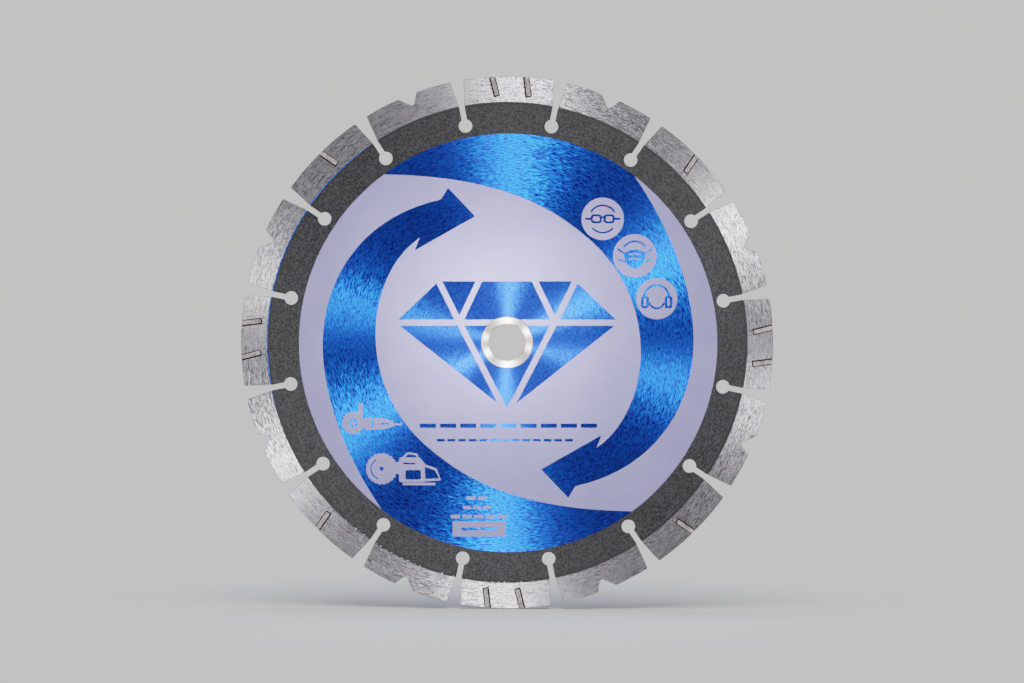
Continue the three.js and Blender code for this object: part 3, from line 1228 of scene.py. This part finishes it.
def build_floor():
    """An even floor that throws no shadow on the blade, since some lamps stand lower than it."""
    mesh = bmesh.new()
    bmesh.ops.create_grid(mesh, x_segments=2, y_segments=2, size=FLOOR_SIZE / 2)
    data = bpy.data.meshes.new("floor")
    mesh.to_mesh(data)
    mesh.free()
    floor = bpy.data.objects.new("floor", data)
    floor.location.z = cad_low.z - FLOOR_GAP
    data.materials.append(floor_material())
    bpy.context.scene.collection.objects.link(floor)
    floor.visible_glossy = False
    floor.visible_shadow = False
    return floor


def light_direction(azimuth, tilt, front=True):
    """The way from the blade to a lamp: its azimuth is clockwise from the top as seen from the front,
    and its tilt is from the blade's axis."""
    x, z = polar(math.sin(math.radians(tilt)), azimuth)
    away = math.cos(math.radians(tilt))
    return Vector((x, -away if front else away, z))


def softbox(name, azimuth, tilt, distance, size, power, front=True):
    """A rectangular lamp that faces the blade: its width goes around the axis, its height with the tilt."""
    data = bpy.data.lights.new(name, "AREA")
    data.shape = "RECTANGLE"
    data.size, data.size_y = size
    data.energy = power
    lamp = bpy.data.objects.new(name, data)
    lamp.location = light_direction(azimuth, tilt, front) * distance
    away = lamp.location.normalized()
    around = light_direction(azimuth + 90, 90)
    lamp.rotation_euler = Matrix((around, away.cross(around), away)).transposed().to_euler()
    lamp.visible_camera = False
    bpy.context.scene.collection.objects.link(lamp)
    return lamp


# The front softboxes stand in opposite pairs: azimuth, width, and the power there and across the axis
LAMP_PAIRS = ((2, 0.20, 9.5, 13.0), (62, 0.17, 12.0, 9.5), (283, 0.12, 6.0, 5.5))
LAMP_TILT = 32
LAMP_DISTANCE = 1.5
LAMP_HEIGHT = 0.5

# The other lamps: azimuth, tilt, distance, size and power
CAMERA_FILL = (330, 1.5, 1.6, (0.08, 0.08), 0.3)
SATIN_FILL = (335, 1.0, 1.6, (0.08, 0.08), 0.62)
RING_FILL = (335, 1.0, 1.6, (0.08, 0.08), 0.55)
RING_FAN = (355, 14, 1.5, (0.12, 0.3), 9.0)
BACK_TOP = (0, 45, 1.6, (0.6, 0.6), 18.0)
BACK_SIDE = (70, 50, 1.6, (0.4, 0.8), 12.0)
SKY_TILT = 12
SKY_WIDTH = 60


def lit_only(lamp, receivers):
    """Keeps a lamp's light to a few objects."""
    chosen = bpy.data.collections.new(f"lit_by_{lamp.name}")
    for receiver in receivers:
        chosen.objects.link(receiver)
    lamp.light_linking.receiver_collection = chosen


def front_softbox(name, azimuth, width, power):
    return softbox(name, azimuth, LAMP_TILT, LAMP_DISTANCE, (width, LAMP_HEIGHT), power)


def build_lights(floor, ink_print, ring):
    """The blade has its own lamps, which leave the floor alone; the sky lights the floor evenly."""
    lamps = []
    for azimuth, width, power, power_across in LAMP_PAIRS:
        lamps.append(front_softbox(f"softbox_{azimuth}", azimuth, width, power))
        lamps.append(front_softbox(f"softbox_{azimuth}_across", azimuth + 180, width, power_across))
    lamps.append(softbox("camera_fill", *CAMERA_FILL))
    lamps.append(softbox("back_top_softbox", *BACK_TOP, front=False))
    lamps.append(softbox("back_side_softbox", *BACK_SIDE, front=False))
    for lamp in lamps:
        lit_only(lamp, pieces)
    lit_only(softbox("satin_fill", *SATIN_FILL), [ink_print])
    lit_only(softbox("ring_fill", *RING_FILL), [ring])
    lit_only(softbox("ring_fan", *RING_FAN), [ring])
    sky_data = bpy.data.lights.new("sky", "SUN")
    sky_data.energy = FLOOR_GLOW
    sky_data.angle = math.radians(SKY_WIDTH)
    sky = bpy.data.objects.new("sky", sky_data)
    sky.rotation_euler = (math.radians(SKY_TILT), 0.0, 0.0)
    bpy.context.scene.collection.objects.link(sky)
    lit_only(sky, [floor])


def build_world():
    """A dim room for the metal to reflect. The camera sees a wall as bright as the far floor."""
    world = bpy.data.worlds.new("room")
    bpy.context.scene.world = world
    world.use_nodes = True
    nodes = world.node_tree.nodes
    links = world.node_tree.links
    nodes.clear()
    output = nodes.new("ShaderNodeOutputWorld")
    choose = nodes.new("ShaderNodeMixShader")
    path = nodes.new("ShaderNodeLightPath")
    room = nodes.new("ShaderNodeBackground")
    wall = nodes.new("ShaderNodeBackground")
    room.inputs["Color"].default_value = (0.95, 0.97, 1.0, 1.0)
    room.inputs["Strength"].default_value = WORLD_GLOW
    far_floor = FLOOR_ALBEDO * (FLOOR_GLOW * math.cos(math.radians(SKY_TILT)) / math.pi + WORLD_GLOW)
    wall.inputs["Color"].default_value = (1.0, 1.0, 0.993, 1.0)
    wall.inputs["Strength"].default_value = far_floor
    links.new(path.outputs["Is Camera Ray"], choose.inputs["Fac"])
    links.new(room.outputs["Background"], choose.inputs[1])
    links.new(wall.outputs["Background"], choose.inputs[2])
    links.new(choose.outputs["Shader"], output.inputs["Surface"])


# The camera, level and square to the blade: lens in millimetres, distance and aim in metres, roll in
# degrees
CAMERA_LENS = 100.0
CAMERA_DISTANCE = 1.2233
CAMERA_AIM = (0.00211, 0.00039)
CAMERA_ROLL = -0.37


def build_camera():
    data = bpy.data.cameras.new("camera")
    data.lens = CAMERA_LENS
    camera = bpy.data.objects.new("camera", data)
    camera.location = (CAMERA_AIM[0], -CAMERA_DISTANCE, CAMERA_AIM[1])
    camera.rotation_euler = (math.radians(90), math.radians(CAMERA_ROLL), 0.0)
    bpy.context.scene.collection.objects.link(camera)
    bpy.context.scene.camera = camera


# The scene

build_plate(lacquer_material(), cut_material())
build_rim_coats(coat_material())
build_welds(weld_material())
build_rim(segment_material(), segment_wall_material(), inlay_material(), gap_shade_material())
ink_print = build_print(ink_material())
ring = build_ring(ring_material())
build_lights(build_floor(), ink_print, ring)
build_world()
build_camera()
bpy.context.scene.view_settings.view_transform = "Filmic"
